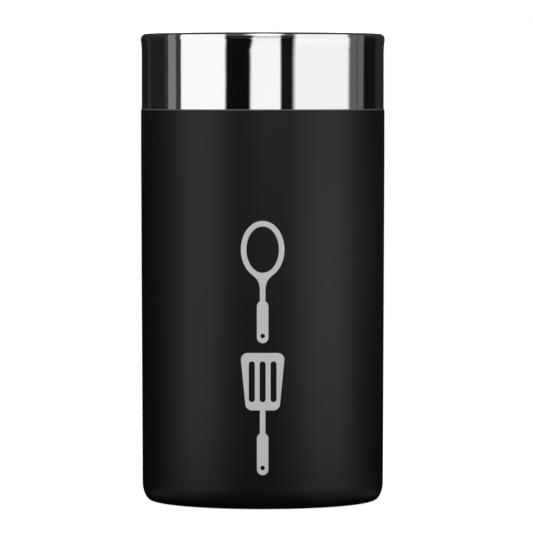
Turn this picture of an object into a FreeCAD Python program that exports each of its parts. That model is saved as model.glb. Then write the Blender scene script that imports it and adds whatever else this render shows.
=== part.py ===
import FreeCAD, Part

import math
import os

# Utensil crock: a double-walled steel pot. A black sleeve with a turned-in foot carries a base plate on
# a soft foot ring. A moulded seat on the plate carries a steel liner with its own floor pan. A polished
# collar closes the gap between the two walls: its spigot plugs into the sleeve, its ledge stands on the
# sleeve's edge, its band shows above it, its rim rolls over and its return laps down inside the liner.
#
# Millimetres, +Z up. The origin is on the axis, on the surface that the crock stands on. The front faces -Y.

# Overall sizes
overall_height = 192.0
body_diameter = 100.0
band_height = 30.9  # polished band between the sleeve's top edge and the top of the rim

# Sleeve: black steel tube
sleeve_wall = 0.5
socket_depth = 22.0  # straight stretch at the mouth, sized for the collar
sleeve_draft = 0.5  # the radius draws in by this much between the socket and the foot
edge_height = 1.2  # the rounded top edge, which draws in to the collar's band
corner_depth = 3.8  # the foot's rounded corner, across
corner_height = 7.6  # and upwards
flange_width = 4.8  # flat of the turned-in foot

# Collar: polished steel ring with a rolled rim
collar_wall = 0.5
socket_clearance = 0.02
band_inset = 0.32  # the band stands this much inside the sleeve's outside
spigot_run_out = 6.0  # straight socket left free below the spigot and its spacer
roll_radius = 2.5
bead_overhang = 0.39  # the rolled rim stands this much proud of the band
flare_span = 5.5  # height over which the band flares out to the rim
return_depth = 11.5  # straight wall below the roll, inside the mouth

# Liner: satin steel tube, and the pan that closes it
liner_wall = 0.5
lap_clearance = 0.03
liner_top_gap = 3.0  # from the middle of the roll down to the liner's hidden edge
liner_bend_radius = 1.5
liner_flange_width = 2.5  # flat of the liner's turned-in foot
floor_sheet = 0.5
floor_clearance = 0.03
floor_cove_margin = 1.5  # the pan's cove is this much larger than the liner's bend
floor_rim_height = 3.0  # straight rim above the cove

# Foot ring, base plate
foot_stand_off = 0.4  # the foot ring lifts the sleeve this much clear of the table
plate_sheet = 0.8
plate_margin = 0.2  # the plate stops this short of where the sleeve's corner starts to rise
dish_rise = 1.2
dish_slope = 4.0
foot_ring_width = 7.0
foot_ring_clearance = 0.3
foot_ring_edge_round = 0.25
foot_groove_count = 2
foot_groove_width = 0.9
foot_groove_depth = 0.25

# Seat under the liner, spacer round its top: moulded plastic
seat_wall = 1.8
seat_deck = 1.6
seat_inset = 3.0  # flat of the base plate left free between its dish and the seat
seat_upstand_height = 8.0
seat_clearance = 0.05
seat_rib_count = 12
seat_rib_thickness = 1.6
spacer_height = 9.0
spacer_lip = 1.5
spacer_clearance = 0.05

# Shape of the drawn curves
quarter_share = 0.5523  # handle length of a Bezier curve that follows a quarter ellipse
press_share = 0.5  # handle length of a pressed step
half = 0.5

# Radii, from the outside in
body_radius = body_diameter * half
socket_radius = body_radius - sleeve_wall
foot_radius = body_radius - sleeve_draft
spigot_radius = socket_radius - socket_clearance
band_radius = body_radius - band_inset
bead_radius = band_radius + bead_overhang
roll_centre_radius = bead_radius - roll_radius
mouth_radius = roll_centre_radius - roll_radius
liner_radius = mouth_radius + collar_wall + lap_clearance
liner_outer_radius = liner_radius + liner_wall
corner_radius = foot_radius - corner_depth
flange_radius = corner_radius - flange_width
plate_radius = corner_radius - plate_margin
foot_ring_radius = flange_radius - foot_ring_clearance
foot_ring_bore = foot_ring_radius - foot_ring_width
dish_radius = foot_ring_bore - foot_ring_clearance

# Heights, from the table up
flange_top = foot_stand_off + sleeve_wall
plate_top = flange_top + plate_sheet
corner_top = foot_stand_off + corner_height
liner_bottom = corner_top + seat_deck
floor_bottom = liner_bottom + liner_wall
floor_cove_radius = liner_bend_radius + floor_cove_margin
seam_height = overall_height - band_height
socket_bottom = seam_height - socket_depth
spigot_bottom = socket_bottom + spigot_run_out + spacer_lip
roll_height = overall_height - roll_radius
flare_bottom = roll_height - flare_span
return_bottom = roll_height - return_depth
liner_top = roll_height - liner_top_gap

# Half circles and quarters, in degrees
quarter_turn = 90
half_turn = 180
full_turn = 360

ORIGIN = FreeCAD.Vector(0, 0, 0)
UP = FreeCAD.Vector(0, 0, 1)


class Section:
    """A closed half section in the r-z plane, drawn edge by edge and then turned about the axis."""

    def __init__(self, r, z):
        self.first = FreeCAD.Vector(r, 0, z)
        self.last = self.first
        self.edges = []

    def add(self, curve, end):
        self.edges.append(curve.toShape())
        self.last = end
        return self

    def line(self, r, z):
        """A straight edge to (r, z)."""
        end = FreeCAD.Vector(r, 0, z)
        return self.add(Part.LineSegment(self.last, end), end)

    def arc(self, centre_r, centre_z, radius, start, stop):
        """A circular edge about a centre, from one angle to another, in degrees from +r towards +z."""

        def point(angle):
            turn = math.radians(angle)
            return FreeCAD.Vector(centre_r + radius * math.cos(turn), 0, centre_z + radius * math.sin(turn))

        return self.add(Part.Arc(self.last, point((start + stop) * half), point(stop)), point(stop))

    def bezier(self, first_handle, second_handle, end):
        curve = Part.BezierCurve()
        curve.setPoles([self.last, self.last + first_handle, end - second_handle, end])
        return self.add(curve, end)

    def quarter_down(self, r, z):
        """A quarter ellipse to (r, z) that leaves along z and arrives along r."""
        end = FreeCAD.Vector(r, 0, z)
        reach = (end - self.last) * quarter_share
        return self.bezier(FreeCAD.Vector(0, 0, reach.z), FreeCAD.Vector(reach.x, 0, 0), end)

    def quarter_across(self, r, z):
        """A quarter ellipse to (r, z) that leaves along r and arrives along z."""
        end = FreeCAD.Vector(r, 0, z)
        reach = (end - self.last) * quarter_share
        return self.bezier(FreeCAD.Vector(reach.x, 0, 0), FreeCAD.Vector(0, 0, reach.z), end)

    def press(self, r, z):
        """A pressed step to (r, z) that leaves and arrives along r."""
        end = FreeCAD.Vector(r, 0, z)
        handle = FreeCAD.Vector((end - self.last).x * press_share, 0, 0)
        return self.bezier(handle, handle, end)

    def turn(self):
        """Closes the section and turns it into a solid of revolution."""
        self.line(self.first.x, self.first.z)
        face = Part.Face(Part.Wire(self.edges))
        return face.revolve(ORIGIN, UP, full_turn)


def outer_sleeve():
    """Tube with a rounded top edge, a straight socket, a slight draft and a turned-in foot."""
    section = Section(socket_radius, seam_height)
    section.line(band_radius, seam_height)
    section.quarter_across(body_radius, seam_height - edge_height)
    section.line(body_radius, socket_bottom)
    section.line(foot_radius, corner_top)
    section.quarter_down(corner_radius, foot_stand_off)
    section.line(flange_radius, foot_stand_off)
    section.line(flange_radius, flange_top)
    section.line(corner_radius, flange_top)
    section.quarter_across(foot_radius - sleeve_wall, corner_top)
    section.line(socket_radius, socket_bottom)
    return section.turn()


def base_plate():
    """Pressed disc that stands on the sleeve's foot, dished up inside the foot ring."""
    section = Section(0, flange_top + dish_rise)
    section.line(dish_radius - dish_slope, flange_top + dish_rise)
    section.press(dish_radius, flange_top)
    section.line(plate_radius, flange_top)
    section.line(plate_radius, plate_top)
    section.line(dish_radius, plate_top)
    section.press(dish_radius - dish_slope, plate_top + dish_rise)
    section.line(0, plate_top + dish_rise)
    return section.turn()


def foot_ring():
    """Soft ring under the base plate, with rounded lower edges and grooves for grip."""
    section = Section(foot_ring_bore, flange_top)
    section.line(foot_ring_bore, foot_ring_edge_round)
    section.quarter_down(foot_ring_bore + foot_ring_edge_round, 0)
    pitch = foot_ring_width / (foot_groove_count + 1)
    for number in range(1, foot_groove_count + 1):
        middle = foot_ring_bore + pitch * number
        inner = middle - foot_groove_width * half
        outer = middle + foot_groove_width * half
        section.line(inner, 0).line(inner, foot_groove_depth)
        section.line(outer, foot_groove_depth).line(outer, 0)
    section.line(foot_ring_radius - foot_ring_edge_round, 0)
    section.quarter_across(foot_ring_radius, foot_ring_edge_round)
    section.line(foot_ring_radius, flange_top)
    return section.turn()


def rib(inner, outer, bottom, top):
    """A flat radial web on the +X side."""
    web = Part.makeBox(outer - inner, seat_rib_thickness, top - bottom)
    web.translate(FreeCAD.Vector(inner, -seat_rib_thickness * half, bottom))
    return web


def liner_seat():
    """Moulded ring on the base plate: two legs, a deck for the liner, and an upstand that centres it."""
    outer_radius = foot_radius - sleeve_wall - seat_clearance
    upstand_bore = liner_outer_radius + seat_clearance
    upstand_top = liner_bottom + seat_upstand_height
    leg_radius = plate_radius - seat_clearance
    leg_bore = leg_radius - seat_wall
    inner_radius = dish_radius + seat_inset
    section = Section(inner_radius, plate_top)
    section.line(inner_radius + seat_wall, plate_top)
    section.line(inner_radius + seat_wall, corner_top)
    section.line(leg_bore, corner_top)
    section.line(leg_bore, plate_top)
    section.line(leg_radius, plate_top)
    section.line(leg_radius, corner_top)
    section.line(outer_radius, corner_top)
    section.line(outer_radius, upstand_top)
    section.line(upstand_bore, upstand_top)
    section.line(upstand_bore, liner_bottom)
    section.line(inner_radius, liner_bottom)
    ring = section.turn()
    rib_inner = inner_radius + seat_wall * half
    rib_outer = leg_radius - seat_wall * half
    webs = []
    for number in range(seat_rib_count):
        web = rib(rib_inner, rib_outer, plate_top, corner_top)
        webs.append(web.rotate(ORIGIN, UP, full_turn * number / seat_rib_count))
    return ring.fuse(webs).removeSplitter()


def inner_liner():
    """Tube that lines the well, with a turned-in foot for the floor pan."""
    bend = liner_bend_radius + liner_wall
    flange_bore = liner_radius - liner_bend_radius - liner_flange_width
    section = Section(liner_radius, liner_top)
    section.line(liner_outer_radius, liner_top)
    section.line(liner_outer_radius, liner_bottom + bend)
    section.arc(liner_outer_radius - bend, liner_bottom + bend, bend, 0, -quarter_turn)
    section.line(flange_bore, liner_bottom)
    section.line(flange_bore, floor_bottom)
    section.line(liner_radius - liner_bend_radius, floor_bottom)
    section.arc(liner_radius - liner_bend_radius, floor_bottom + liner_bend_radius, liner_bend_radius,
                -quarter_turn, 0)
    return section.turn()


def liner_floor():
    """Pan that drops into the liner: a flat floor, a cove and a low rim against the wall."""
    rim_radius = liner_radius - floor_clearance
    cove_bore = floor_cove_radius - floor_sheet
    cove_centre_r = rim_radius - floor_cove_radius
    cove_centre_z = floor_bottom + floor_cove_radius
    rim_top = cove_centre_z + floor_rim_height
    section = Section(0, floor_bottom)
    section.line(cove_centre_r, floor_bottom)
    section.arc(cove_centre_r, cove_centre_z, floor_cove_radius, -quarter_turn, 0)
    section.line(rim_radius, rim_top)
    section.line(rim_radius - floor_sheet, rim_top)
    section.line(rim_radius - floor_sheet, cove_centre_z)
    section.arc(cove_centre_r, cove_centre_z, cove_bore, 0, -quarter_turn)
    section.line(0, floor_bottom + floor_sheet)
    return section.turn()


def collar_spacer():
    """Moulded ring that fills the collar's spigot and keeps it round about the liner."""
    bore = liner_outer_radius + spacer_clearance
    plug_radius = spigot_radius - collar_wall - spacer_clearance
    lip_bottom = spigot_bottom - spacer_lip
    section = Section(bore, lip_bottom)
    section.line(spigot_radius, lip_bottom)
    section.line(spigot_radius, spigot_bottom)
    section.line(plug_radius, spigot_bottom)
    section.line(plug_radius, spigot_bottom + spacer_height)
    section.line(bore, spigot_bottom + spacer_height)
    return section.turn()


def rim_collar():
    """Polished ring: spigot, ledge, band, flare, rolled rim, and a return down inside the liner."""
    flare_turn = 2 * math.atan(bead_overhang / flare_span)
    flare_radius = flare_span / math.sin(flare_turn) - roll_radius
    flare_angle = math.degrees(flare_turn)
    flare_centre = band_radius + flare_radius
    roll_bore = roll_radius - collar_wall
    section = Section(spigot_radius, spigot_bottom)
    section.line(spigot_radius, seam_height)
    section.line(band_radius, seam_height)
    section.line(band_radius, flare_bottom)
    section.arc(flare_centre, flare_bottom, flare_radius, half_turn, half_turn - flare_angle)
    section.arc(roll_centre_radius, roll_height, roll_radius, -flare_angle, quarter_turn)
    section.arc(roll_centre_radius, roll_height, roll_radius, quarter_turn, half_turn)
    section.line(mouth_radius, return_bottom)
    section.line(mouth_radius + collar_wall, return_bottom)
    section.line(mouth_radius + collar_wall, roll_height)
    section.arc(roll_centre_radius, roll_height, roll_bore, half_turn, quarter_turn)
    section.arc(roll_centre_radius, roll_height, roll_bore, quarter_turn, -flare_angle)
    section.arc(flare_centre, flare_bottom, flare_radius + collar_wall, half_turn - flare_angle, half_turn)
    section.line(band_radius - collar_wall, seam_height + collar_wall)
    section.line(spigot_radius - collar_wall, seam_height)
    section.line(spigot_radius - collar_wall, spigot_bottom)
    return section.turn()


PIECES = {
    "outer_sleeve": outer_sleeve,
    "base_plate": base_plate,
    "foot_ring": foot_ring,
    "liner_seat": liner_seat,
    "inner_liner": inner_liner,
    "liner_floor": liner_floor,
    "collar_spacer": collar_spacer,
    "rim_collar": rim_collar,
}


def main():
    os.makedirs("parts", exist_ok=True)
    for name, make in PIECES.items():
        shape = make()
        if not shape.isValid() or len(shape.Solids) != 1:
            raise ValueError(f"{name} is not one valid solid")
        shape.exportStep(f"parts/{name}.step")
        box = shape.optimalBoundingBox()
        print(f"{name}: {shape.Volume:.1f} mm3, z {box.ZMin:.2f} to {box.ZMax:.2f}, across {box.XLength:.2f}")


main()
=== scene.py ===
import math
from functools import cached_property
from typing import NamedTuple

import bmesh
import bpy
from bpy.props import FloatProperty, FloatVectorProperty, IntProperty, PointerProperty
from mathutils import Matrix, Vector
from mathutils.geometry import tessellate_polygon


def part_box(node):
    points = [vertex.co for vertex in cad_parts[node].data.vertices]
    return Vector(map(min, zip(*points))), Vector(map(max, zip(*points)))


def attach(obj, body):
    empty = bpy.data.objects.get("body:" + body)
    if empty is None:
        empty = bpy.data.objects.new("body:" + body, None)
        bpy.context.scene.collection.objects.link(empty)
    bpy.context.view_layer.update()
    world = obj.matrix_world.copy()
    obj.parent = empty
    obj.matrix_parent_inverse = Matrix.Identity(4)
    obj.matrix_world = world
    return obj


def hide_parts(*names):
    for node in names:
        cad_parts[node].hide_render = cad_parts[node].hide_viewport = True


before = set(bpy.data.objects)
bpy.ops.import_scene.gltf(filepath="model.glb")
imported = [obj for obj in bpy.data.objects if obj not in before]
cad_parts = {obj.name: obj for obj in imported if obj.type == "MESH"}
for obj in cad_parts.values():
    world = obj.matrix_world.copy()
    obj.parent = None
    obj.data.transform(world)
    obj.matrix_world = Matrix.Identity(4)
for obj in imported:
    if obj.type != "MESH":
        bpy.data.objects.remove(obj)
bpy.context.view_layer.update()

bl_info = {
    "name": "Utensil Crock",
    "version": (1, 0, 0),
    "blender": (4, 5, 0),
    "location": "3D View > Sidebar > Crock",
    "description": "Dresses a double-walled crock: sleeve, polished collar, steel well, foot and print",
    "category": "Object",
}

MM = 0.001
BODY = "root"

# Drawing and turning
GUARD = 0.1 * MM  # a flat keeps its shading to within this distance of a bend
GUARD_LIMIT = 0.2  # or to within this share of a short flat
QUARTER = 0.5523  # handle length of a curve that follows a quarter ellipse
PRESS = 0.5  # handle length of a pressed step
CREASE = math.radians(35)  # edges that fold by more than this stay sharp
WELD = 1e-6  # points closer than this are one
SPINE = 10 * MM  # radius of the circle that a section is swept along
STRIP = 0.6 * MM  # width of the strips that the flat print is cut into before it is bent
CUT = 1e-7  # points closer than this to a cut or to the axis lie on it

# Printed spoon and turner
NECK_JOINT = -52  # where the spoon's neck meets its bowl, in degrees round the bowl from its right
NECK_LENGTH = 5 * MM
HOLE_RADIUS = 0.2  # hanging hole, in widths of the grip
HOLE_HEIGHT = 0.62
HEEL = 0.8  # width of the turner at its heel, in widths of its edge
BLADE_LEAN = 8  # how far the turner's sides lean out, in degrees
BLADE_CORNER = 1.2  # its rounded corners, its border and half a slot, in strokes
BLADE_BORDER = 1.5
HALF_SLOT = 0.55
SLOT_PITCH = 1 / 3.6  # in mean widths of the blade


class DomeCard(NamedTuple):
    """A card of the dome round the crock, which starts where the card on its left ends."""

    stop: float  # where the collar shows its end, in degrees right of the front
    blend: float  # how softly it blends into the next card, in degrees
    levels: tuple  # how bright it is at its foot, and where the band, the lower and the upper rim show it
    leans: tuple = (0, 0, 0, 0, 0)  # how far its end leans at three heights, the band's top and the rim


class NearCard(NamedTuple):
    """An upright card bent round the crock, between two bearings in degrees right of the camera."""

    start: float
    stop: float
    radius: float
    bottom: float
    top: float
    level: float


class FloorCard(NamedTuple):
    """A card on the floor, between two bearings. Where two overlap, the one on the higher layer shows."""

    start: float
    stop: float
    radius: float
    layer: int
    level: float


DOME_START = -89
DOME_RADIUS = 0.65
DOME_STEP = 3  # longest stretch of a card between two columns of points, in degrees
DOME_CARDS = (
    DomeCard(-70.3, 0.6, (0.011, 0.011, 0.018, 0.022)),
    DomeCard(-65.9, 0.6, (0.025, 0.027, 0.027, 0.03)),
    DomeCard(-52.65, 0.6, (0.014, 0.014, 0.018, 0.03)),
    DomeCard(-50.1, 0.4, (0.031, 0.031, 0.031, 0.035)),
    DomeCard(-44.8, 0.6, (0.2, 0.2, 0.19, 0.18)),
    DomeCard(-41.4, 0.6, (0.042, 0.042, 0.04, 0.05)),
    DomeCard(-17.5, 1.2, (1.03, 1.0, 1.0, 1.0)),
    DomeCard(-6.2, 1.3, (0.004, 0.004, 0.022, 0.1), (1.8, 0.85, 0.5, 0.75, 1.8)),
    DomeCard(8.35, 0.9, (0.92, 0.97, 0.64, 0.64)),
    DomeCard(14.7, 2.0, (0.005, 0.007, 0.025, 0.1), (0.3, 0, 0, 0, 0.3)),
    DomeCard(44.1, 2.0, (1.05, 0.92, 0.93, 0.94), (0.75, 0.35, 0, 0.35, -0.5)),
    DomeCard(49.5, 0.4, (0.12, 0.12, 0.12, 0.11)),
    DomeCard(50.8, 0.4, (0.08, 0.08, 0.08, 0.08)),
    DomeCard(55.0, 0.8, (0.12, 0.12, 0.12, 0.11), (0.3, 0.2, 0, 0.4, 0.1)),
    DomeCard(67.0, 2.4, (0.012, 0.006, 0.014, 0.04)),
    DomeCard(89, 0, (0.02, 0.02, 0.03, 0.03)),
)
DOME_HEIGHTS = (0, 0.148, 0.16)  # of its wall, up to where the lower edge of the band shows it
DOME_TILTS = ((0,), (0.5, 8, 14, 20, 25), (27.5, 34, 40), (44, 52, 62, 74, 88))  # of the rim, by zone
CROWN_LEVEL = 0.04  # how bright the last zone is

NEAR_CARDS = {
    "front_card": NearCard(-34, 27.3, radius=0.3, bottom=0, top=0.105, level=0.15),
    "right_card": NearCard(42, 72, radius=0.3, bottom=0.05, top=0.112, level=1.7),
    "side_card": NearCard(92, 114, radius=0.3, bottom=0.08, top=0.112, level=0.45),
    "left_flag": NearCard(-165, -118, radius=0.3, bottom=0, top=0.135, level=0.002),
    "rear_card": NearCard(172, 188, radius=0.6, bottom=0, top=0.45, level=4.0),
}
FLOOR_CARDS = {
    "front_mat": FloorCard(-34, 27.3, radius=0.3, layer=1, level=0.008),
    "left_mat": FloorCard(-82, -34, radius=0.45, layer=1, level=0.8),
    "right_mat": FloorCard(27.3, 86.2, radius=0.45, layer=1, level=0.65),
    "rear_mat": FloorCard(86.2, 278.2, radius=DOME_RADIUS, layer=1, level=0.002),
    # Painted shade in reflections: these darker floor cards round the foot stand for the shadow on the floor
    # next to the crock, and the one right under it is almost black
    "left_foot_shadow_mat": FloorCard(-82, -34, radius=0.14, layer=2, level=0.15),
    "right_foot_shadow_mat": FloorCard(27.3, 86.2, radius=0.14, layer=2, level=0.17),
    "foot_shadow_mat": FloorCard(-180, 180, radius=0.053, layer=3, level=0.002),
}
CARD_LIFT = 0.05 * MM  # height of a layer of floor cards
CARD_STEPS = 24  # faces of an upright card
MAT_STEPS = 72  # sides of a floor card's round edge

OVAL_CORE = (-4.2, 8.8, 25, 45.5)  # lamp above the front: left, right, low and high, as the collar shows it
OVAL_EDGE = (-9.8, 10.8, 23, 49)
OVAL_LEVELS = (1.25, 0.1)  # in its core and along its edge
OVAL_STEPS = 48
OVAL_INSET = 0.98  # how far out it stands, in radii of the dome

WELL_LEVELS = (0.95, 9.0)  # card across the well: its middle, and how much more at its front and back edges
WELL_MIDDLE = 0.75  # radius of the even middle, in radii of the card
WELL_FALLOFF = 4  # power with which the light along the edge falls off to the sides

LAMP_AIM = (0, 0, 0.1)
SIDE_LAMPS = {"left_lamp": (-0.6, -1.2, 0.8), "right_lamp": (0.6, -1.2, 0.8)}
SIDE_LAMP_WIDTH = 0.8
TOP_LAMP = (0, 0.1, 1.4)
TOP_LAMP_WIDTH = 1.2
SENSOR_WIDTH = 36
FLOOR_WHITE = 1.02  # brightness of the floor, just past white


def radius_of(node):
    """Outside radius of a round node of the frame."""
    low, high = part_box(node)
    return (high.x - low.x) / 2


def bottom_of(node):
    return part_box(node)[0].z


def top_of(node):
    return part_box(node)[1].z


def setting(kind, **limits):
    """Gives a function that makes settings of one kind, which a user may change."""

    def make(name, description, default):
        return kind(name=name, description=description, default=default, **limits)

    return make


length = setting(FloatProperty, min=0, unit="LENGTH", precision=5)
whole_number = setting(IntProperty, min=0)
facets = setting(IntProperty, min=24)
share = setting(FloatProperty, min=0, max=1, subtype="FACTOR")
colour = setting(FloatVectorProperty, min=0, max=1, subtype="COLOR")
location = setting(FloatVectorProperty, subtype="TRANSLATION")
focal_length = setting(FloatProperty, unit="CAMERA")
power = setting(FloatProperty, unit="POWER")


class CrockSleeve(bpy.types.PropertyGroup):
    radius: length("Radius", "Outside radius at the mouth", radius_of("outer_sleeve"))
    bottom: length("Bottom", "Height of the turned-in foot above the table", bottom_of("outer_sleeve"))
    top: length("Top", "Height of the edge that the collar stands on", top_of("outer_sleeve"))
    wall: length("Wall", "Sheet thickness", 0.5 * MM)
    socket_depth: length("Socket Depth", "Straight stretch at the mouth", 22 * MM)
    draft: length("Draft", "How much the radius draws in down to the foot", 0.5 * MM)
    edge_height: length("Edge Height", "Rounded top edge, which draws in to the band", 1.2 * MM)
    # Painted highlight: height of the lighter line painted along the top edge, standing in for light caught
    # by the rounded edge
    edge_worn: length("Edge Worn", "Height of the lighter line along the top edge", 0.42 * MM)
    corner_depth: length("Corner Depth", "The foot's rounded corner, across", 3.8 * MM)
    corner_height: length("Corner Height", "The foot's rounded corner, upwards", 7.6 * MM)
    flange_width: length("Flange Width", "Flat of the turned-in foot", 4.8 * MM)


class CrockCollar(bpy.types.PropertyGroup):
    radius: length("Radius", "Outside radius of the rolled rim", radius_of("rim_collar"))
    bottom: length("Bottom", "Lower edge of the hidden spigot", bottom_of("rim_collar"))
    top: length("Top", "Top of the rim", top_of("rim_collar"))
    wall: length("Wall", "Sheet thickness", 0.5 * MM)
    spigot_clearance: length("Spigot Clearance", "Room between spigot and sleeve", 0.02 * MM)
    band_inset: length("Band Inset", "How far the band stands inside the sleeve's outside", 0.32 * MM)
    roll_radius: length("Roll Radius", "Radius of the rolled rim", 2.5 * MM)
    flare_span: length("Flare Span", "Height over which the band flares out to the rim", 5.5 * MM)
    return_depth: length("Return Depth", "Straight wall below the roll, inside the mouth", 11.5 * MM)


class CrockWell(bpy.types.PropertyGroup):
    liner_radius: length("Liner Radius", "Outside radius of the liner", radius_of("inner_liner"))
    liner_bottom: length("Liner Bottom", "Height of the liner's turned-in foot", bottom_of("inner_liner"))
    liner_top: length("Liner Top", "Height of the liner's edge", top_of("inner_liner"))
    sheet: length("Sheet", "Sheet thickness of liner and floor", 0.5 * MM)
    bend_radius: length("Bend Radius", "Inner bend of the liner's foot", 1.5 * MM)
    flange_width: length("Flange Width", "Flat of the liner's foot", 2.5 * MM)
    floor_radius: length("Floor Radius", "Outside radius of the floor pan", radius_of("liner_floor"))
    floor_bottom: length("Floor Bottom", "Underside of the floor pan", bottom_of("liner_floor"))
    floor_top: length("Floor Top", "Edge of the floor pan's rim", top_of("liner_floor"))
    cove_radius: length("Cove Radius", "Outer bend of the floor pan", 3 * MM)


class CrockUnderside(bpy.types.PropertyGroup):
    plate_radius: length("Plate Radius", "Outside radius of the base plate", radius_of("base_plate"))
    plate_bottom: length("Plate Bottom", "Underside of the base plate's flat", bottom_of("base_plate"))
    plate_sheet: length("Plate Sheet", "Sheet thickness", 0.8 * MM)
    dish_radius: length("Dish Radius", "Where the dish starts", 33.3 * MM)
    dish_slope: length("Dish Slope", "Width of the pressed step", 4 * MM)
    dish_rise: length("Dish Rise", "Height of the pressed step", 1.2 * MM)
    ring_radius: length("Ring Radius", "Outside radius of the foot ring", radius_of("foot_ring"))
    ring_top: length("Ring Top", "Top of the foot ring, on the plate", top_of("foot_ring"))
    ring_width: length("Ring Width", "Width of the foot ring", 7 * MM)
    ring_round: length("Ring Round", "Lower corners of the foot ring", 0.25 * MM)
    groove_count: whole_number("Grooves", "Grip grooves in the foot ring", 2)
    groove_width: length("Groove Width", "Width of a grip groove", 0.9 * MM)
    groove_depth: length("Groove Depth", "Depth of a grip groove", 0.25 * MM)


class CrockPrint(bpy.types.PropertyGroup):
    bottom: length("Bottom", "Height of the lower pictogram's end", 14.5 * MM)
    height: length("Height", "Height of one pictogram", 49 * MM)
    gap: length("Gap", "Space between the two pictograms", 4 * MM)
    head_width: length("Head Width", "Width of the spoon's bowl and of the turner's blade", 17.4 * MM)
    head_height: length("Head Height", "Height of the bowl and of the blade", 23 * MM)
    stroke: length("Stroke", "Width of the drawn lines", 2.2 * MM)
    grip_width: length("Grip Width", "Width of the handle's grip", 4.6 * MM)
    grip_length: length("Grip Length", "Length of the handle's grip", 17 * MM)
    film: length("Film", "How far the ink stands on the coat", 0.03 * MM)


class CrockFinish(bpy.types.PropertyGroup):
    segments: facets("Segments", "Facets round every turned piece", 360)
    coat: colour("Black Coat", "Satin black stoved coat", (0.003, 0.003, 0.003))
    # Painted highlight: colour of the lighter line painted along the sleeve's top edge
    coat_edge: colour("Coat Edge", "Coat rubbed lighter along the sleeve's top edge", (0.08, 0.08, 0.08))
    polish: colour("Polished Steel", "Mirror-polished collar", (0.945, 0.945, 0.94))
    satin: colour("Satin Steel", "Brushed liner and floor", (0.62, 0.615, 0.605))
    plastic: colour("Moulded Plastic", "Hidden seat and spacer", (0.05, 0.05, 0.052))
    rubber: colour("Foot Rubber", "Non-slip foot ring", (0.02, 0.02, 0.02))
    ink: colour("Print Ink", "Light grey screen print", (0.48, 0.48, 0.48))
    coat_roughness: share("Coat Roughness", "Roughness of the black coat", 0.42)
    polish_roughness: share("Polish Roughness", "Roughness of the polished steel", 0.05)


class CrockStage(bpy.types.PropertyGroup):
    eye: location("Eye", "Where the camera stands", (0.00154, -1.8686, 0.16949))
    aim: location("Aim", "What the camera looks at", (0.00154, 0, 0.09629))
    lens: focal_length("Lens", "Focal length on a 36 mm sensor", 307.1)
    floor_radius: length("Floor Radius", "Size of the pale floor", 1.5)
    floor_pale: share("Floor Colour", "Grey level that takes the shadow", 0.3)
    ambient: share("Ambient", "Light from all round on matt surfaces", 0.45)
    side_power: power("Side Lamps", "Power of each side lamp", 9)
    top_power: power("Top Lamp", "Power of the lamp above", 6)
    dome_radius: length("Dome Radius", "How far the dome of cards stands from the crock", DOME_RADIUS)


class HalfSection:
    """Right half of a section or of a drawing, drawn from point to point as radius and height."""

    def __init__(self, r, z):
        self.points = [(r, z)]

    def line(self, *corners):
        """Straight runs, each with a point close to its ends, which keeps its shading flat."""
        for r, z in corners:
            r0, z0 = self.points[-1]
            near = min(GUARD / math.hypot(r - r0, z - z0), GUARD_LIMIT)
            for part in (near, 1 - near, 1):
                self.points.append((r0 + (r - r0) * part, z0 + (z - z0) * part))

    def arc(self, r, z, radius, start, stop, steps):
        """A circular bend about (r, z), from one angle to another in degrees."""
        self.points += ring_points(r, z, radius, radius, start, stop, steps)[1:]

    def bend(self, first, second, r, z, steps):
        """A smooth bend to (r, z) with a handle at each end."""
        r0, z0 = self.points[-1]
        poles = ((r0, z0), (r0 + first[0], z0 + first[1]), (r - second[0], z - second[1]), (r, z))
        for number in range(1, steps + 1):
            t = number / steps
            weights = ((1 - t) ** 3, 3 * t * (1 - t) ** 2, 3 * t * t * (1 - t), t**3)
            self.points.append(tuple(sum(w * p for w, p in zip(weights, places)) for places in zip(*poles)))

    def quarter_down(self, r, z, steps):
        """A quarter ellipse that leaves along the height and arrives along the radius."""
        r0, z0 = self.points[-1]
        self.bend((0, (z - z0) * QUARTER), ((r - r0) * QUARTER, 0), r, z, steps)

    def quarter_across(self, r, z, steps):
        """A quarter ellipse that leaves along the radius and arrives along the height."""
        r0, z0 = self.points[-1]
        self.bend(((r - r0) * QUARTER, 0), (0, (z - z0) * QUARTER), r, z, steps)

    def press(self, r, z, steps):
        """A pressed step that leaves and arrives along the radius."""
        handle = ((r - self.points[-1][0]) * PRESS, 0)
        self.bend(handle, handle, r, z, steps)


def both_forms(operation):
    """An operator on values, for a value on its left and for a value on its right."""

    def left(self, other):
        return self.math(operation, other)

    def right(self, other):
        return self.nodes.value("ShaderNodeMath", {0: other, 1: self}, operation=operation)

    return left, right


class Value:
    """A number in a node tree. Sums on it add Math nodes."""

    def __init__(self, nodes, socket):
        self.nodes = nodes
        self.socket = socket

    def math(self, operation, *others):
        return self.nodes.value("ShaderNodeMath", dict(enumerate((self, *others))), operation=operation)

    __add__, __radd__ = both_forms("ADD")
    __sub__, __rsub__ = both_forms("SUBTRACT")
    __mul__, __rmul__ = both_forms("MULTIPLY")
    __truediv__, __rtruediv__ = both_forms("DIVIDE")
    __gt__, __lt__ = both_forms("GREATER_THAN")

    def __abs__(self):
        return self.math("ABSOLUTE")


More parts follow.
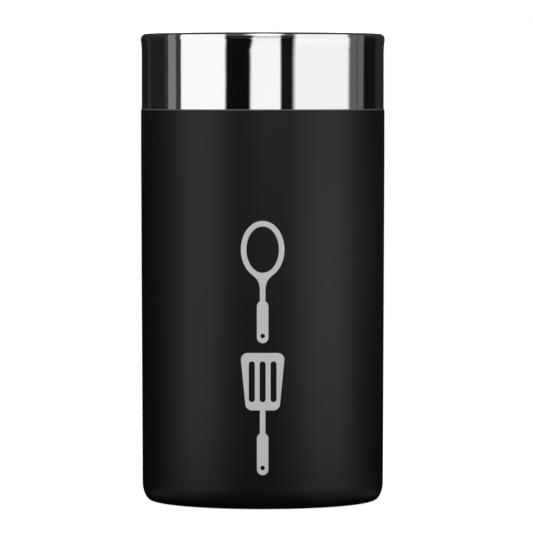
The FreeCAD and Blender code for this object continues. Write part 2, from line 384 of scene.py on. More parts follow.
class Nodes:
    """A node tree of a finish, a shape or the stage, with one method that adds any node."""

    def __init__(self, tree):
        self.tree = tree

    def node(self, kind, sockets=None, **settings):
        """Adds a node, makes its settings, then fills its sockets with values, links or lists of links."""
        node = self.tree.nodes.new(kind)
        for name, choice in settings.items():
            setattr(node, name, choice)
        for key, given in (sockets or {}).items():
            socket = self.find(node.inputs, key)
            for item in given if isinstance(given, list) else [given]:
                source = item.socket if isinstance(item, Value) else item
                if isinstance(source, bpy.types.NodeSocket):
                    self.tree.links.new(source, socket)
                else:
                    socket.default_value = source
        return node

    def out(self, kind, sockets=None, key=0, **settings):
        """Adds a node and gives one of its outputs."""
        return self.find(self.node(kind, sockets, **settings).outputs, key)

    def value(self, kind, sockets=None, key=0, **settings):
        """Adds a node and gives one of its outputs as a number."""
        return Value(self, self.out(kind, sockets, key, **settings))

    def split(self, vector):
        """The three numbers of a vector."""
        return [Value(self, part) for part in self.node("ShaderNodeSeparateXYZ", {"Vector": vector}).outputs]

    def vector(self, x, y, z):
        return self.out("ShaderNodeCombineXYZ", {"X": x, "Y": y, "Z": z})

    @staticmethod
    def find(sockets, key):
        """The socket of that number, identifier or name."""
        if isinstance(key, int):
            return sockets[key]
        named = [socket for socket in sockets if socket.identifier == key]
        return named[0] if named else sockets[key]


def empty_tree(owner):
    """The node tree of a new material or world, with nothing in it."""
    owner.use_nodes = True
    owner.node_tree.nodes.clear()
    return owner.node_tree


class Surface(Nodes):
    """A finish on one Principled shader, laid out in the piece's own object space."""

    def __init__(self, slot):
        self.material = bpy.data.materials.new(slot + "_finish")
        super().__init__(empty_tree(self.material))
        self.place = self.out("ShaderNodeTexCoord", key="Object")
        self.x, self.y, self.z = self.split(self.place)

    @cached_property
    def radius(self):
        return (self.x * self.x + self.y * self.y).math("SQRT")

    @cached_property
    def around(self):
        """Angle round the axis, in radians."""
        return self.y.math("ARCTAN2", self.x)

    def noise(self, scale, detail=2.0, roughness=0.5, vector=None):
        """Cloudy noise from about 0.2 to 0.8, at a number of cells to the metre."""
        sockets = {"Vector": vector or self.place, "Scale": scale, "Detail": detail, "Roughness": roughness}
        return self.value("ShaderNodeTexNoise", sockets)

    def cells(self, scale):
        """Distance to the middle of the nearest of scattered cells, in cells."""
        return self.value("ShaderNodeTexVoronoi", {"Vector": self.place, "Scale": scale}, "Distance")

    def ramp(self, value, low, high):
        """0 on the side of low, 1 on the side of high, smooth between."""
        sockets = {"Value": value, "From Min": low, "From Max": high}
        return self.value("ShaderNodeMapRange", sockets, interpolation_type="SMOOTHSTEP")

    def mix(self, factor, first, second):
        """A colour between two colours, each given as numbers or taken from a node."""
        ends = [end if isinstance(end, bpy.types.NodeSocket) else (*end, 1) for end in (first, second)]
        sockets = {"Factor_Float": factor, "A_Color": ends[0], "B_Color": ends[1]}
        return self.out("ShaderNodeMix", sockets, "Result_Color", data_type="RGBA")

    def bump(self, height, depth, below=None):
        """A relief of that depth in metres, on top of another one."""
        sockets = {"Height": height, "Strength": 1.0, "Distance": depth}
        if below:
            sockets["Normal"] = below
        return self.out("ShaderNodeBump", sockets, "Normal")

    def finish(self, **sockets):
        """Ends the tree in a Principled shader with these sockets, whose names have _ for a space."""
        named = {name.replace("_", " "): value for name, value in sockets.items()}
        shader = self.out("ShaderNodeBsdfPrincipled", named, "BSDF")
        self.node("ShaderNodeOutputMaterial", {"Surface": shader})
        return self.material


def tint(base, factor):
    """A colour made lighter or darker."""
    return tuple(channel * factor for channel in base)


def black_coat(finish):
    """Satin black stoved coat: fine orange peel, clouds in the gloss, rubbed at its foot, and a painted
    highlight as a lighter line along its top edge.
    """
    sleeve = bpy.context.scene.crock_sleeve
    paint = Surface("black_coat")
    clouds = paint.noise(35, detail=3)
    peel = paint.noise(700)
    grain = paint.noise(5200, detail=1)
    scuffs = paint.ramp(paint.noise(420, detail=4), 0.5, 0.68)
    rubbed = paint.ramp(paint.z, 1.6 * MM, 0.4 * MM) * scuffs
    # The lighter line along the top edge is a painted highlight, not wear: it stands in for light caught by
    # the rounded edge
    line = sleeve.top - sleeve.edge_worn
    soft = 0.08 * MM
    painted_highlight = paint.ramp(paint.z, line - soft, line + soft) * (0.9 + paint.noise(160, detail=3) * 0.2)
    black = paint.mix(rubbed * 0.6 + clouds * 0.3, tint(finish.coat, 0.9), tint(finish.coat, 1.5))
    return paint.finish(
        Base_Color=paint.mix(painted_highlight, black, finish.coat_edge),
        Roughness=finish.coat_roughness + (clouds - 0.5) * 0.06 - rubbed * 0.08,
        Specular_IOR_Level=0.38,
        Normal=paint.bump(grain, 0.6e-6, paint.bump(peel, 2.5e-6)),
    )


def polished_steel(finish):
    """Mirror polish on rolled sheet: slow waves, fine buffing lines round the band, stray hairlines."""
    paint = Surface("polished_steel")
    waves = paint.noise(58, detail=1)
    buffed = paint.vector(paint.z * 5200, paint.radius * 5200, paint.around * 9)
    lines = paint.noise(1, detail=3, roughness=0.6, vector=buffed)
    slanted = paint.vector(paint.z * 900 + paint.around * 260, paint.radius * 900, paint.around * 14)
    hairs = paint.ramp(paint.noise(1, vector=slanted), 0.70, 0.74)
    return paint.finish(
        Base_Color=paint.mix(lines, tint(finish.polish, 0.985), tint(finish.polish, 1.015)),
        Metallic=1.0,
        Roughness=finish.polish_roughness + (lines - 0.5) * 0.02 + hairs * 0.05,
        Normal=paint.bump(lines, 0.05e-6, paint.bump(waves, 32e-6)),
    )


def satin_steel(finish):
    """Steel brushed round the wall and the floor, with a dressed weld line down the back of the wall."""
    well = bpy.context.scene.crock_well
    paint = Surface("satin_steel")
    along = paint.z + paint.radius
    brushed = paint.vector(along * 3800, paint.around * 14, paint.z * 300)
    lines = paint.noise(1, detail=4, roughness=0.65, vector=brushed)
    broad = paint.noise(1, vector=paint.vector(along * 420, paint.around * 5, paint.z * 60))
    clouds = paint.noise(24)
    bead = paint.noise(2600)
    wall = paint.radius > well.floor_radius - well.cove_radius / 2
    weld = paint.ramp(abs(paint.x), 0.8 * MM, 0.3 * MM) * (paint.y > 0) * wall
    tone = lines * 0.6 + broad * 0.4 - weld * 0.25
    return paint.finish(
        Base_Color=paint.mix(tone, tint(finish.satin, 0.7), tint(finish.satin, 1.22)),
        Metallic=1.0,
        Roughness=0.34 + wall * 0.08 + lines * 0.1 + (clouds - 0.5) * 0.08 + weld * 0.1,
        Normal=paint.bump(weld * bead, 12e-6, paint.bump(lines, 1.6e-6, paint.bump(clouds, 30e-6))),
    )


def moulded_plastic(finish):
    """Dark moulded plastic with a fine spark-eroded grain and faint flow clouds."""
    paint = Surface("moulded_plastic")
    grain = paint.noise(2600, detail=3)
    flow = paint.noise(90)
    return paint.finish(
        Base_Color=paint.mix(flow, tint(finish.plastic, 0.85), tint(finish.plastic, 1.2)),
        Roughness=0.5 + (grain - 0.5) * 0.2,
        Normal=paint.bump(grain, 12e-6),
    )


def foot_rubber(finish):
    """Matt black rubber with a pebbled skin and patches of dust."""
    paint = Surface("foot_rubber")
    pebbles = paint.cells(2400)
    dust = paint.ramp(paint.noise(260, detail=4), 0.45, 0.8)
    return paint.finish(
        Base_Color=paint.mix(dust * 0.5, finish.rubber, tint(finish.rubber, 2.6)),
        Roughness=0.74 + dust * 0.14,
        Normal=paint.bump(pebbles, 18e-6),
    )


def print_ink(finish):
    """Screen-printed light grey ink: even, with a faint mesh weave and pinholes."""
    paint = Surface("print_ink")
    weave = (paint.x * 21000).math("SINE") * (paint.z * 21000).math("SINE")
    clouds = paint.noise(180, detail=3)
    pinholes = paint.ramp(paint.cells(900), 0.09, 0.05) * (paint.noise(330, detail=1) > 0.56)
    return paint.finish(
        Base_Color=paint.mix(clouds * 0.8 + pinholes * 0.4, tint(finish.ink, 1.05), tint(finish.ink, 0.9)),
        Roughness=0.5 + (clouds - 0.5) * 0.1,
        Normal=paint.bump(weave, 0.8e-6, paint.bump(clouds, 3e-6)),
    )


FINISHES = {make.__name__: make for make in (
    black_coat, polished_steel, satin_steel, moulded_plastic, foot_rubber, print_ink,
)}


def finish_of(slot):
    """The material of a slot, made once."""
    return bpy.data.materials.get(slot + "_finish") or FINISHES[slot](bpy.context.scene.crock_finish)


def shape_tree(name, inputs):
    """An empty geometry tree with these inputs, a crease and a finish, and the sockets that give them."""
    tree = bpy.data.node_groups.new(name, "GeometryNodeTree")
    for title, kind in {**inputs, "Crease": "Float", "Finish": "Material"}.items():
        tree.interface.new_socket(title, in_out="INPUT", socket_type=f"NodeSocket{kind}")
    tree.interface.new_socket("Shape", in_out="OUTPUT", socket_type="NodeSocketGeometry")
    nodes = Nodes(tree)
    return nodes, nodes.node("NodeGroupInput").outputs


def end_shape(nodes, geometry, given):
    """Ends a geometry tree in plain faces, smooth except at sharp edges, that carry their finish."""
    smooth = nodes.out("GeometryNodeSetShadeSmooth", {"Geometry": geometry}, domain="FACE")
    fold = nodes.value("GeometryNodeInputMeshEdgeAngle", key="Unsigned Angle")
    sharp = fold > Value(nodes, given["Crease"])
    sockets = {"Geometry": smooth, "Selection": sharp, "Shade Smooth": False}
    creased = nodes.out("GeometryNodeSetShadeSmooth", sockets, domain="EDGE")
    real = nodes.out("GeometryNodeRealizeInstances", {"Geometry": creased})
    dressed = nodes.out("GeometryNodeSetMaterial", {"Geometry": real, "Material": given["Finish"]})
    nodes.node("NodeGroupOutput", {"Shape": dressed})
    return nodes.tree


def lathe_tree():
    """Turns a half section, drawn with its radius along X and its height down Y, about the Z axis."""
    inputs = {"Half Section": "Geometry", "Segments": "Int", "Spine Radius": "Float"}
    nodes, given = shape_tree("Lathe", inputs)
    spine = Value(nodes, given["Spine Radius"])
    inwards = nodes.vector(0 - spine, 0, 0)
    drawn = nodes.out("GeometryNodeTransform", {"Geometry": given["Half Section"], "Translation": inwards})
    section = nodes.out("GeometryNodeMeshToCurve", {"Mesh": drawn})
    circle = {"Resolution": given["Segments"], "Radius": spine}
    ring = nodes.out("GeometryNodeCurvePrimitiveCircle", circle, mode="RADIUS")
    upright = nodes.out("GeometryNodeSetCurveNormal", {"Curve": ring}, mode="Z_UP")
    swept = nodes.out("GeometryNodeCurveToMesh", {"Curve": upright, "Profile Curve": section})
    closed = nodes.out("GeometryNodeMergeByDistance", {"Geometry": swept, "Distance": WELD})
    return end_shape(nodes, closed, given)


def wrap_tree():
    """Gives a flat drawing in the XZ plane a thickness and lays it round the front of a tapered tube."""
    lengths = ("Foot Radius", "Foot Height", "Slope", "Film")
    nodes, given = shape_tree("Wrap", {"Drawing": "Geometry", **dict.fromkeys(lengths, "Float")})
    foot_radius, foot_height, slope, film = (Value(nodes, given[name]) for name in lengths)
    film_sockets = {"Mesh": given["Drawing"], "Offset Scale": film * 2, "Individual": False}
    raised = nodes.out("GeometryNodeExtrudeMesh", film_sockets, mode="FACES")
    back = nodes.out("GeometryNodeFlipFaces", {"Mesh": given["Drawing"]})
    both = nodes.out("GeometryNodeJoinGeometry", {"Geometry": [raised, back]})
    solid = nodes.out("GeometryNodeMergeByDistance", {"Geometry": both, "Distance": WELD})
    x, y, z = nodes.split(nodes.out("GeometryNodeInputPosition"))
    radius = foot_radius + slope * (z - foot_height) - y - film
    turn = x / foot_radius
    laid = nodes.vector(radius * turn.math("SINE"), 0 - radius * turn.math("COSINE"), z)
    wrapped = nodes.out("GeometryNodeSetPosition", {"Geometry": solid, "Position": laid})
    return end_shape(nodes, wrapped, given)


def shaped(name, source, tree, slot, inputs, stands_for=()):
    """Runs a geometry tree on a mesh and puts the piece on the part's one body, in its finish."""
    inputs = {**inputs, "Crease": CREASE, "Finish": finish_of(slot)}
    source.materials.append(inputs["Finish"])
    piece = bpy.data.objects.new(name, source)
    bpy.context.scene.collection.objects.link(piece)
    modifier = piece.modifiers.new("Shape", "NODES")
    modifier.node_group = tree
    for socket in tree.interface.items_tree:
        if socket.in_out == "INPUT" and socket.name in inputs:
            modifier[socket.identifier] = inputs[socket.name]
    graph = bpy.context.evaluated_depsgraph_get()
    mesh = bpy.data.meshes.new_from_object(piece.evaluated_get(graph))
    piece.modifiers.remove(modifier)
    piece.data = mesh
    mesh.name = name
    bpy.data.meshes.remove(source)
    if not mesh.polygons:
        raise RuntimeError(f"{name} came out empty")
    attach(piece, BODY)
    for node in stands_for:
        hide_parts(node)


def clockwise(points):
    """The points of a half section in the order that turns its faces outwards."""
    pairs = zip(points, points[1:] + points[:1])
    twice_area = sum(r * next_z - next_r * z for (r, z), (next_r, next_z) in pairs)
    return points if twice_area < 0 else points[::-1]


def turned(name, section, slot, node):
    """A turned piece for a node of the frame, from a section that ends where it starts or on the axis."""
    points = clockwise(section.points)
    closed = math.dist(points[0], points[-1]) < WELD
    count = len(points) - closed
    edges = [(number, (number + 1) % count) for number in range(len(points) - 1)]
    outline = bpy.data.meshes.new(name + "_outline")
    outline.from_pydata([(r, -z, 0) for r, z in points[:count]], edges, [])
    tree = bpy.data.node_groups.get("Lathe") or lathe_tree()
    inputs = {"Segments": bpy.context.scene.crock_finish.segments, "Spine Radius": SPINE}
    shaped(name, outline, tree, slot, inputs, [node])


def ring_points(x, z, half_width, half_height, start, stop, steps):
    """Points on an ellipse, from one angle to another in degrees."""
    turns = [math.radians(start + (stop - start) * number / steps) for number in range(steps + 1)]
    return [(x + half_width * math.cos(turn), z + half_height * math.sin(turn)) for turn in turns]


def full_ring(x, z, half_width, half_height, steps=96):
    """Points all round an ellipse."""
    return ring_points(x, z, half_width, half_height, 0, 360, steps)[:-1]


def rounded_bar(x, bottom, top, half_width):
    """Outline of an upright bar with round ends."""
    lower = ring_points(x, bottom + half_width, half_width, half_width, 180, 360, steps=24)
    upper = ring_points(x, top - half_width, half_width, half_width, 0, 180, steps=24)
    return lower + upper


def handle(size):
    """Right half of the outline of a handle's round grip, up to where the stem leaves it."""
    half_grip = size.grip_width / 2
    half_stem = size.stroke / 2
    grip_top = size.grip_length - half_grip
    shoulder = math.degrees(math.acos(half_stem / half_grip))
    lower = ring_points(0, half_grip, half_grip, half_grip, -90, 0, steps=16)
    upper = ring_points(0, grip_top, half_grip, half_grip, 0, shoulder, steps=12)
    return lower + upper


def mirrored(points):
    """Closes a right half, drawn upwards from the axis to the axis, with its left half."""
    return points + [(-x, z) for x, z in reversed(points) if x > CUT]


def hanging_hole(size):
    """Loop of the small hole at the end of a grip."""
    radius = size.grip_width * HOLE_RADIUS
    return full_ring(0, size.grip_width * HOLE_HEIGHT, radius, radius, steps=32)


def spoon(size):
    """Outline of a spoon, whose neck flows into its bowl, and the loops cut out of it."""
    across = size.head_width / 2
    up = size.head_height / 2
    middle = size.height - up
    joint = math.radians(NECK_JOINT)
    arrival = Vector((across * math.cos(joint), middle + up * math.sin(joint)))
    along = Vector((-across * math.sin(joint), up * math.cos(joint))).normalized()
    neck = HalfSection(size.stroke / 2, middle - up - NECK_LENGTH)
    neck.bend((0, NECK_LENGTH), along * NECK_LENGTH / 2, *arrival, steps=20)
    edge = ring_points(0, middle, across, up, NECK_JOINT, 90, steps=60)
    bowl = full_ring(0, middle, across - size.stroke, up - size.stroke)
    return [mirrored(handle(size) + neck.points + edge[1:]), bowl, hanging_hole(size)]


def turner(size):
    """Outline of a slotted turner and the loops cut out of it."""
    across = size.head_width / 2
    heel = across * HEEL
    bottom = size.height - size.head_height
    corner = size.stroke * BLADE_CORNER
    border = size.stroke * BLADE_BORDER
    pitch = (heel + across) * SLOT_PITCH
    outline = handle(size) + [(size.stroke / 2, bottom)]
    outline += ring_points(heel - corner, bottom + corner, corner, corner, -90, -BLADE_LEAN, steps=12)
    outline += ring_points(across - corner, size.height - corner, corner, corner, -BLADE_LEAN, 90, steps=12)
    outline.append((0, size.height))
    half_slot = size.stroke * HALF_SLOT
    slots = [rounded_bar(x, bottom + border, size.height - border, half_slot) for x in (-pitch, 0, pitch)]
    return [mirrored(outline), *slots, hanging_hole(size)]


def drawing_mesh(name, loops_at):
    """Flat faces in the XZ plane, facing -Y and cut into narrow upright strips, which can then be bent."""
    mesh = bpy.data.meshes.new(name)
    work = bmesh.new()
    for height, loops in loops_at:
        polylines = [[Vector((x, 0, z + height)) for x, z in loop] for loop in loops]
        corners = [work.verts.new(point) for polyline in polylines for point in polyline]
        for face in tessellate_polygon(polylines):
            work.faces.new([corners[index] for index in face])
    reach = max(abs(vertex.co.x) for vertex in work.verts)
    count = math.ceil(2 * reach / STRIP)
    for number in range(1, count):
        place = (-reach + 2 * reach * number / count, 0, 0)
        parts = work.verts[:] + work.edges[:] + work.faces[:]
        bmesh.ops.bisect_plane(work, geom=parts, plane_co=place, plane_no=(1, 0, 0), dist=CUT)
    for face in work.faces:
        face.normal_update()
    bmesh.ops.reverse_faces(work, faces=[face for face in work.faces if face.normal.y > 0])
    work.to_mesh(mesh)
    work.free()
    return mesh


def sleeve_section(size, collar):
    """A tube with a rounded top edge, a straight socket, a tapered body and a turned-in foot."""
    inner = size.radius - size.wall
    foot = size.radius - size.draft
    corner = foot - size.corner_depth
    flange = corner - size.flange_width
    flange_top = size.bottom + size.wall
    corner_top = size.bottom + size.corner_height
    socket_bottom = size.top - size.socket_depth
    section = HalfSection(inner, size.top)
    section.line((size.radius - collar.band_inset, size.top))
    section.quarter_across(size.radius, size.top - size.edge_height, steps=20)
    section.line((size.radius, socket_bottom), (foot, corner_top))
    section.quarter_down(corner, size.bottom, steps=28)
    section.line((flange, size.bottom), (flange, flange_top), (corner, flange_top))
    section.quarter_across(foot - size.wall, corner_top, steps=20)
    section.line((inner, socket_bottom), (inner, size.top))
    return section


def collar_section(size, sleeve):
    """A spigot, a band that flares out to a rolled rim, and a return wall inside the mouth."""
    seam = sleeve.top
    spigot = sleeve.radius - sleeve.wall - size.spigot_clearance
    spigot_inside = spigot - size.wall
    band = sleeve.radius - size.band_inset
    roll_r = size.radius - size.roll_radius
    roll_z = size.top - size.roll_radius
    mouth = roll_r - size.roll_radius
    return_bottom = roll_z - size.return_depth
    return_back = mouth + size.wall
    flare_bottom = roll_z - size.flare_span
    flare_turn = 2 * math.atan((size.radius - band) / size.flare_span)
    flare = size.flare_span / math.sin(flare_turn) - size.roll_radius
    angle = math.degrees(flare_turn)
    section = HalfSection(spigot, size.bottom)
    section.line((spigot, seam), (band, seam), (band, flare_bottom))
    section.arc(band + flare, flare_bottom, flare, 180, 180 - angle, steps=16)
    section.arc(roll_r, roll_z, size.roll_radius, -angle, 180, steps=72)
    section.line((mouth, return_bottom), (return_back, return_bottom), (return_back, roll_z))
    section.arc(roll_r, roll_z, size.roll_radius - size.wall, 180, -angle, steps=24)
    section.arc(band + flare, flare_bottom, flare + size.wall, 180 - angle, 180, steps=6)
    section.line((band - size.wall, seam + size.wall), (spigot_inside, seam), (spigot_inside, size.bottom))
    section.line((spigot, size.bottom))
    return section


def liner_section(size):
    """A tube with a turned-in foot."""
    outer = size.liner_radius
    inner = outer - size.sheet
    bend = size.bend_radius + size.sheet
    bend_top = size.liner_bottom + bend
    inside = inner - size.bend_radius
    flange = inside - size.flange_width
    flange_top = size.liner_bottom + size.sheet
    section = HalfSection(inner, size.liner_top)
    section.line((outer, size.liner_top), (outer, bend_top))
    section.arc(outer - bend, bend_top, bend, 0, -90, steps=12)
    section.line((flange, size.liner_bottom), (flange, flange_top), (inside, flange_top))
    section.arc(inside, flange_top + size.bend_radius, size.bend_radius, -90, 0, steps=12)
    section.line((inner, size.liner_top))
    return section


def pan_section(size):
    """A flat pan with a coved rim, drawn from the axis to the axis."""
    rim = size.floor_radius
    rim_inside = rim - size.sheet
    cove_r = rim - size.cove_radius
    cove_z = size.floor_bottom + size.cove_radius
    section = HalfSection(0, size.floor_bottom)
    section.line((cove_r, size.floor_bottom))
    section.arc(cove_r, cove_z, size.cove_radius, -90, 0, steps=16)
    section.line((rim, size.floor_top), (rim_inside, size.floor_top), (rim_inside, cove_z))
    section.arc(cove_r, cove_z, size.cove_radius - size.sheet, 0, -90, steps=16)
    section.line((0, size.floor_bottom + size.sheet))
    return section


def plate_section(size):
    """A pressed plate whose middle is raised by a step, drawn from the axis to the axis."""
    low = size.plate_bottom
    high = low + size.plate_sheet
    step = size.dish_radius - size.dish_slope
    section = HalfSection(0, low + size.dish_rise)
    section.line((step, low + size.dish_rise))
    section.press(size.dish_radius, low, steps=20)
    section.line((size.plate_radius, low), (size.plate_radius, high), (size.dish_radius, high))
    section.press(step, high + size.dish_rise, steps=20)
    section.line((0, high + size.dish_rise))
    return section


def ring_section(size):
    """A flat ring with rounded lower corners and grip grooves in its underside."""
    bore = size.ring_radius - size.ring_width
    pitch = size.ring_width / (size.groove_count + 1)
    section = HalfSection(bore, size.ring_top)
    section.line((bore, size.ring_round))
    section.quarter_down(bore + size.ring_round, 0, steps=6)
    for number in range(1, size.groove_count + 1):
        near = bore + pitch * number - size.groove_width / 2
        far = near + size.groove_width
        section.line((near, 0), (near, size.groove_depth), (far, size.groove_depth), (far, 0))
    section.line((size.ring_radius - size.ring_round, 0))
    section.quarter_across(size.ring_radius, size.ring_round, steps=6)
    section.line((size.ring_radius, size.ring_top), (bore, size.ring_top))
    return section


class CROCK_OT_sleeve(bpy.types.Operator):
    """Make the black sleeve"""

    bl_idname = "crock.sleeve"
    bl_label = "Black Sleeve"

    def execute(self, context):
        section = sleeve_section(context.scene.crock_sleeve, context.scene.crock_collar)
        turned("black_sleeve", section, "black_coat", "outer_sleeve")
        return {"FINISHED"}


class CROCK_OT_collar(bpy.types.Operator):
    """Make the polished collar with its rolled rim"""

    bl_idname = "crock.collar"
    bl_label = "Polished Collar"

    def execute(self, context):
        section = collar_section(context.scene.crock_collar, context.scene.crock_sleeve)
        turned("polished_collar", section, "polished_steel", "rim_collar")
        return {"FINISHED"}


class CROCK_OT_well(bpy.types.Operator):
    """Make the steel liner and the pan that closes it"""

    bl_idname = "crock.well"
    bl_label = "Steel Well"

    def execute(self, context):
        size = context.scene.crock_well
        turned("steel_liner", liner_section(size), "satin_steel", "inner_liner")
        turned("steel_floor", pan_section(size), "satin_steel", "liner_floor")
        return {"FINISHED"}


class CROCK_OT_underside(bpy.types.Operator):
    """Make the base plate and the soft foot ring"""

    bl_idname = "crock.underside"
    bl_label = "Base and Foot Ring"

    def execute(self, context):
        size = context.scene.crock_underside
        turned("black_base_plate", plate_section(size), "black_coat", "base_plate")
        turned("rubber_foot_ring", ring_section(size), "foot_rubber", "foot_ring")
        return {"FINISHED"}


class CROCK_OT_mouldings(bpy.types.Operator):
    """Give the hidden seat and spacer their moulded finish"""

    bl_idname = "crock.mouldings"
    bl_label = "Hidden Mouldings"

    def execute(self, context):
        for name in ("liner_seat", "collar_spacer"):
            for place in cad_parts[name].material_slots:
                place.material = finish_of("moulded_plastic")
        return {"FINISHED"}


class CROCK_OT_print(bpy.types.Operator):
    """Print a spoon and a slotted turner up the front of the sleeve"""

    bl_idname = "crock.print"
    bl_label = "Front Print"

    def execute(self, context):
        size = context.scene.crock_print
        sleeve = context.scene.crock_sleeve
        foot_height = sleeve.bottom + sleeve.corner_height
        places = (
            (size.bottom, turner(size)),
            (size.bottom + size.height + size.gap, spoon(size)),
        )
        drawing = drawing_mesh("front_print_drawing", places)
        tree = bpy.data.node_groups.get("Wrap") or wrap_tree()
        shaped("front_print", drawing, tree, "print_ink", {
            "Foot Radius": sleeve.radius - sleeve.draft,
            "Foot Height": foot_height,
            "Slope": sleeve.draft / (sleeve.top - sleeve.socket_depth - foot_height),
            "Film": size.film,
        })
        return {"FINISHED"}


def stage_object(name, vertices, faces, material):
    mesh = bpy.data.meshes.new(name)
    mesh.from_pydata(vertices, [], faces)
    mesh.materials.append(material)
    thing = bpy.data.objects.new(name, mesh)
    bpy.context.scene.collection.objects.link(thing)
    return thing


def placed(name, data, place, aim):
    """A camera or a lamp that stands at one place and points at another."""
    thing = bpy.data.objects.new(name, data)
    bpy.context.scene.collection.objects.link(thing)
    thing.location = place
    thing.rotation_euler = (Vector(aim) - Vector(place)).to_track_quat("-Z", "Y").to_euler()
    return thing


def glow(name, below_only):
    """A light of the brightness given at each vertex, seen from both sides or only from below."""
    material = bpy.data.materials.new(name)
    nodes = Nodes(empty_tree(material))
    material.cycles.emission_sampling = "NONE"
    level = nodes.out("ShaderNodeAttribute", key="Color", attribute_name="brightness")
    light = nodes.out("ShaderNodeEmission", {"Color": level})
    if below_only:
        clear = nodes.out("ShaderNodeBsdfTransparent")
        below = nodes.value("ShaderNodeNewGeometry", key="Backfacing")
        light = nodes.out("ShaderNodeMixShader", {0: below, 1: clear, 2: light})
    nodes.node("ShaderNodeOutputMaterial", {"Surface": light})
    return material


def studio_card(name, vertices, faces, brightness, below_only=False):
    """A card that shows only in reflections, with a brightness for each vertex."""
    card = stage_object(name, vertices, faces, glow(name, below_only))
    card.data.attributes.new("brightness", "FLOAT", "POINT").data.foreach_set("value", brightness)
    for ray in ("camera", "diffuse", "transmission", "volume_scatter", "shadow"):
        setattr(card, f"visible_{ray}", False)


def shown_at(size, collar, turn, tilt, radius):
    """Where at a radius the camera looks by way of the rim, at an angle round it and a tilt of it."""
    turn = math.radians(turn)
    tilt = math.radians(tilt)
    middle = Vector((0, 0, collar.top))
    outwards = Vector((math.sin(turn), -math.cos(turn), 0))
    normal = outwards * math.cos(tilt) + Vector((0, 0, math.sin(tilt)))
    arm = outwards * collar.radius
    view = (Vector(size.eye) - middle - arm).normalized()
    ray = 2 * normal.dot(view) * normal - view
    along = arm.dot(ray)
    reach = math.sqrt(along**2 - arm.length_squared + radius**2) - along
    return middle + arm + ray * reach


def dome_columns():
    """Angles round the collar, each with its leans and the brightness of its card."""
    columns = []
    start = DOME_START
    leans = DOME_CARDS[0].leans
    for card in DOME_CARDS:
        stop = card.stop - card.blend / 2
        steps = max(1, math.ceil((stop - start) / DOME_STEP))
        for number in range(steps + 1):
            part = number / steps
            between = [first + (last - first) * part for first, last in zip(leans, card.leans)]
            columns.append((start + (stop - start) * part, between, card.levels))
        start = stop + card.blend
        leans = card.leans
    return columns


def dome(size, collar):
    """A dome of studio cards, each cut so that the collar shows it as an upright stripe up to its rim."""
    columns = dome_columns()
    vertices = []
    brightness = []
    for turn, (*wall_leans, band_lean, rim_lean), (foot_level, band_level, *rim_levels) in columns:
        for height, lean in zip(DOME_HEIGHTS, wall_leans):
            place = shown_at(size, collar, turn + lean, 0, size.dome_radius)
            vertices.append((place.x, place.y, height))
        brightness += [foot_level, band_level, band_level]
        zone_leans = (band_lean, rim_lean, rim_lean, 0)
        zone_levels = (band_level, *rim_levels, CROWN_LEVEL)
        for tilts, lean, level in zip(DOME_TILTS, zone_leans, zone_levels):
            vertices += [shown_at(size, collar, turn + lean, tilt, size.dome_radius) for tilt in tilts]
            brightness += [level] * len(tilts)
    rows = len(vertices) // len(columns)
    corners = [column * rows + row for column in range(len(columns) - 1) for row in range(rows - 1)]
    faces = [(corner, corner + rows, corner + rows + 1, corner + 1) for corner in corners]
    studio_card("dome", vertices, faces, brightness)


def target_faces(count):
    """A face inside the first of two rings of points, and faces from there out to the second."""
    nexts = [(number + 1) % count for number in range(count)]
    between = [(number, count + number, count + after, after) for number, after in enumerate(nexts)]
    return [tuple(range(count)), *between]


def oval_lamp(size, collar):
    """A soft oval lamp just inside the dome, which the top of the rim shows as a bright lens."""
    radius = size.dome_radius * OVAL_INSET
    vertices = []
    brightness = []
    for (left, right, low, high), level in zip((OVAL_CORE, OVAL_EDGE), OVAL_LEVELS):
        middle = ((left + right) / 2, (low + high) / 2)
        oval = full_ring(*middle, (right - left) / 2, (high - low) / 2, OVAL_STEPS)
        vertices += [shown_at(size, collar, turn, tilt, radius) for turn, tilt in oval]
        brightness += [level] * OVAL_STEPS
    studio_card("oval_lamp", vertices, target_faces(OVAL_STEPS), brightness)


def well_card(well):
    """A card across the well's mouth, seen only from below, that gives its steel light to reflect."""
    radius = well.liner_radius - 2 * well.sheet
    rim = full_ring(0, 0, radius, radius)
    middle = [(x * WELL_MIDDLE, y * WELL_MIDDLE) for x, y in rim]
    vertices = [(x, y, well.liner_top) for x, y in middle + rim]
    low, gain = WELL_LEVELS
    brightness = [low] * len(middle) + [low + gain * (y / radius) ** WELL_FALLOFF for x, y in rim]
    studio_card("well_card", vertices, target_faces(len(rim)), brightness, below_only=True)


def near_card(name, card):
    arc = ring_points(0, 0, card.radius, card.radius, card.start - 90, card.stop - 90, CARD_STEPS)
    vertices = [(x, y, z) for x, y in arc for z in (card.bottom, card.top)]
    faces = [(corner, corner + 2, corner + 3, corner + 1) for corner in range(0, 2 * CARD_STEPS, 2)]
    studio_card(name, vertices, faces, [card.level] * len(vertices))


def floor_card(name, card):
    arc = ring_points(0, 0, card.radius, card.radius, card.start - 90, card.stop - 90, MAT_STEPS)
    outline = [(0, 0), *arc] if card.stop - card.start < 360 else arc[:-1]
    vertices = [(x, y, CARD_LIFT * card.layer) for x, y in outline]
    studio_card(name, vertices, [tuple(range(len(vertices)))], [card.level] * len(vertices))


def area_lamp(name, place, width, power):
    """A soft lamp on matt surfaces only, as polished ones show the cards and the white surround."""
    lamp = bpy.data.lights.new(name, "AREA")
    lamp.shape = "SQUARE"
    lamp.size = width
    lamp.energy = power
    thing = placed(name, lamp, place, LAMP_AIM)
    thing.visible_camera = False
    thing.visible_glossy = False


def camera(size):
    lens = bpy.data.cameras.new("camera")
    lens.sensor_width = SENSOR_WIDTH
    lens.lens = size.lens
    bpy.context.scene.camera = placed("camera", lens, size.eye, size.aim)


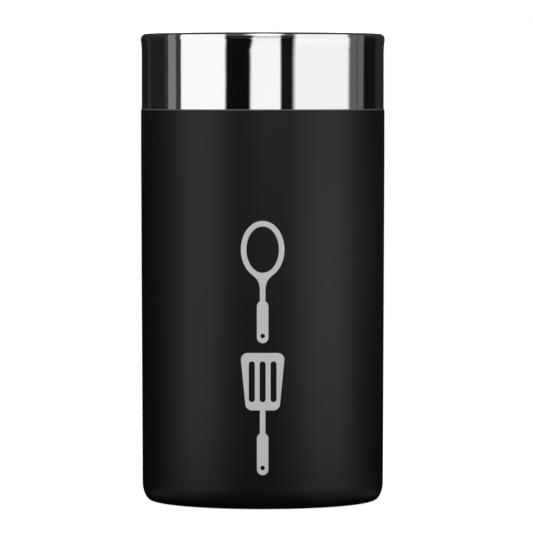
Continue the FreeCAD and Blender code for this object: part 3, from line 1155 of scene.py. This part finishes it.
def seen_rays(nodes):
    """1 for rays from the camera, from gloss and through clear things, 0 for rays from matt surfaces."""
    path = nodes.node("ShaderNodeLightPath").outputs
    kinds = ("Is Camera Ray", "Is Glossy Ray", "Is Transmission Ray")
    seen, gloss, clear = (Value(nodes, path[kind]) for kind in kinds)
    return seen.math("MAXIMUM", gloss).math("MAXIMUM", clear)


def surround(size):
    """An even white world, dimmer for matt surfaces."""
    world = bpy.data.worlds.new("white_surround")
    nodes = Nodes(empty_tree(world))
    world.cycles.sampling_method = "NONE"
    strength = size.ambient + seen_rays(nodes) * (1 - size.ambient)
    light = nodes.out("ShaderNodeBackground", {"Color": (1, 1, 1, 1), "Strength": strength})
    nodes.node("ShaderNodeOutputWorld", {"Surface": light})
    bpy.context.scene.world = world


def floor(size):
    """A round white floor, whose grey share takes the shadow."""
    material = bpy.data.materials.new("pale_floor")
    nodes = Nodes(empty_tree(material))
    material.cycles.emission_sampling = "NONE"
    pale = size.floor_pale
    matt = nodes.out("ShaderNodeBsdfDiffuse", {"Color": (pale, pale, pale, 1)})
    white = seen_rays(nodes) * (FLOOR_WHITE - pale * size.ambient)
    light = nodes.out("ShaderNodeEmission", {"Strength": white})
    both = nodes.out("ShaderNodeAddShader", {0: matt, 1: light})
    nodes.node("ShaderNodeOutputMaterial", {"Surface": both})
    rim = full_ring(0, 0, size.floor_radius, size.floor_radius)
    stage_object("pale_floor", [(x, y, 0) for x, y in rim], [tuple(range(len(rim)))], material)


class CROCK_OT_stage(bpy.types.Operator):
    """Set up the camera, the pale floor, the white surround, the lamps and the studio cards"""

    bl_idname = "crock.stage"
    bl_label = "Stage"

    def execute(self, context):
        size = context.scene.crock_stage
        collar = context.scene.crock_collar
        camera(size)
        surround(size)
        floor(size)
        for name, card in NEAR_CARDS.items():
            near_card(name, card)
        for name, card in FLOOR_CARDS.items():
            floor_card(name, card)
        dome(size, collar)
        oval_lamp(size, collar)
        well_card(context.scene.crock_well)
        for name, place in SIDE_LAMPS.items():
            area_lamp(name, place, SIDE_LAMP_WIDTH, size.side_power)
        area_lamp("top_lamp", TOP_LAMP, TOP_LAMP_WIDTH, size.top_power)
        context.scene.view_settings.view_transform = "Standard"
        return {"FINISHED"}


class CROCK_PT_sidebar(bpy.types.Panel):
    """Sizes, finishes and steps of the crock"""

    bl_idname = "CROCK_PT_sidebar"
    bl_label = "Utensil Crock"
    bl_space_type = "VIEW_3D"
    bl_region_type = "UI"
    bl_category = "Crock"

    def draw(self, context):
        for step in STEPS:
            self.layout.operator(step.bl_idname)
        for key, group in GROUPS.items():
            box = self.layout.box()
            box.label(text=key.replace("_", " ").title())
            for name in group.__annotations__:
                box.prop(getattr(context.scene, key), name)


GROUPS = {
    "crock_sleeve": CrockSleeve,
    "crock_collar": CrockCollar,
    "crock_well": CrockWell,
    "crock_underside": CrockUnderside,
    "crock_print": CrockPrint,
    "crock_finish": CrockFinish,
    "crock_stage": CrockStage,
}
STEPS = (
    CROCK_OT_stage,
    CROCK_OT_sleeve,
    CROCK_OT_collar,
    CROCK_OT_well,
    CROCK_OT_underside,
    CROCK_OT_mouldings,
    CROCK_OT_print,
)
CLASSES = (*GROUPS.values(), *STEPS, CROCK_PT_sidebar)


def register():
    for kind in CLASSES:
        bpy.utils.register_class(kind)
    for key, group in GROUPS.items():
        setattr(bpy.types.Scene, key, PointerProperty(type=group))


def unregister():
    for key in GROUPS:
        delattr(bpy.types.Scene, key)
    for kind in reversed(CLASSES):
        bpy.utils.unregister_class(kind)


def main():
    register()
    bpy.ops.crock.stage()
    bpy.ops.crock.sleeve()
    bpy.ops.crock.collar()
    bpy.ops.crock.well()
    bpy.ops.crock.underside()
    bpy.ops.crock.mouldings()
    bpy.ops.crock.print()


if __name__ == "__main__":
    main()
